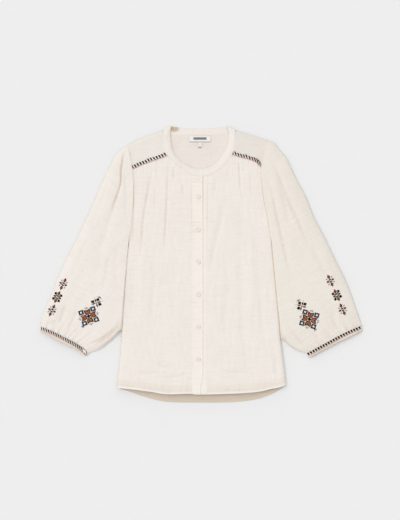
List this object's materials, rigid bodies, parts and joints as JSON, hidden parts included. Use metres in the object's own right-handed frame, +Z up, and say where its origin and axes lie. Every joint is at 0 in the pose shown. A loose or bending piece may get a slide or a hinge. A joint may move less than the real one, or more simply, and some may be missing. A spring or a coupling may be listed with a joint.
{
  "type": "embroidered blouse",
  "caption": "Button-front blouse laid flat, with a round neckband, gathered yokes, balloon sleeves to narrow cuffs, folk star embroidery and woven trims.",
  "frame": {"origin": "on the table under the middle of the blouse's box", "axes": "+X to the wearer's left, +Y towards the neck, +Z up from the table, face of the blouse up"},
  "size_m": [0.791, 0.6768, 0.0167],
  "materials": {
    "cloth": "soft crinkled slub gauze, matt, ivory",
    "trim": "matt embroidery thread, navy with rust and grey-blue",
    "button": "satin shell white",
    "label": "woven satin ribbon, white"
  },
  "bodies": {
    "root": {"back": "cloth", "front_right": "cloth", "front_left": "cloth", "placket_right": "cloth", "button_band_left": "cloth", "yoke_right": "cloth", "yoke_left": "cloth", "neckband": "cloth", "sleeve_right": "cloth", "sleeve_left": "cloth", "cuff_right": "cloth", "cuff_left": "cloth", "yoke_trim_right": "trim", "yoke_trim_left": "trim", "cuff_trim_right": "trim", "cuff_trim_left": "trim", "label": "label", "size_tab": "label", "button_1": "button", "button_2": "button", "button_3": "button", "button_4": "button", "button_5": "button", "button_6": "button"}
  },
  "joints": []
}
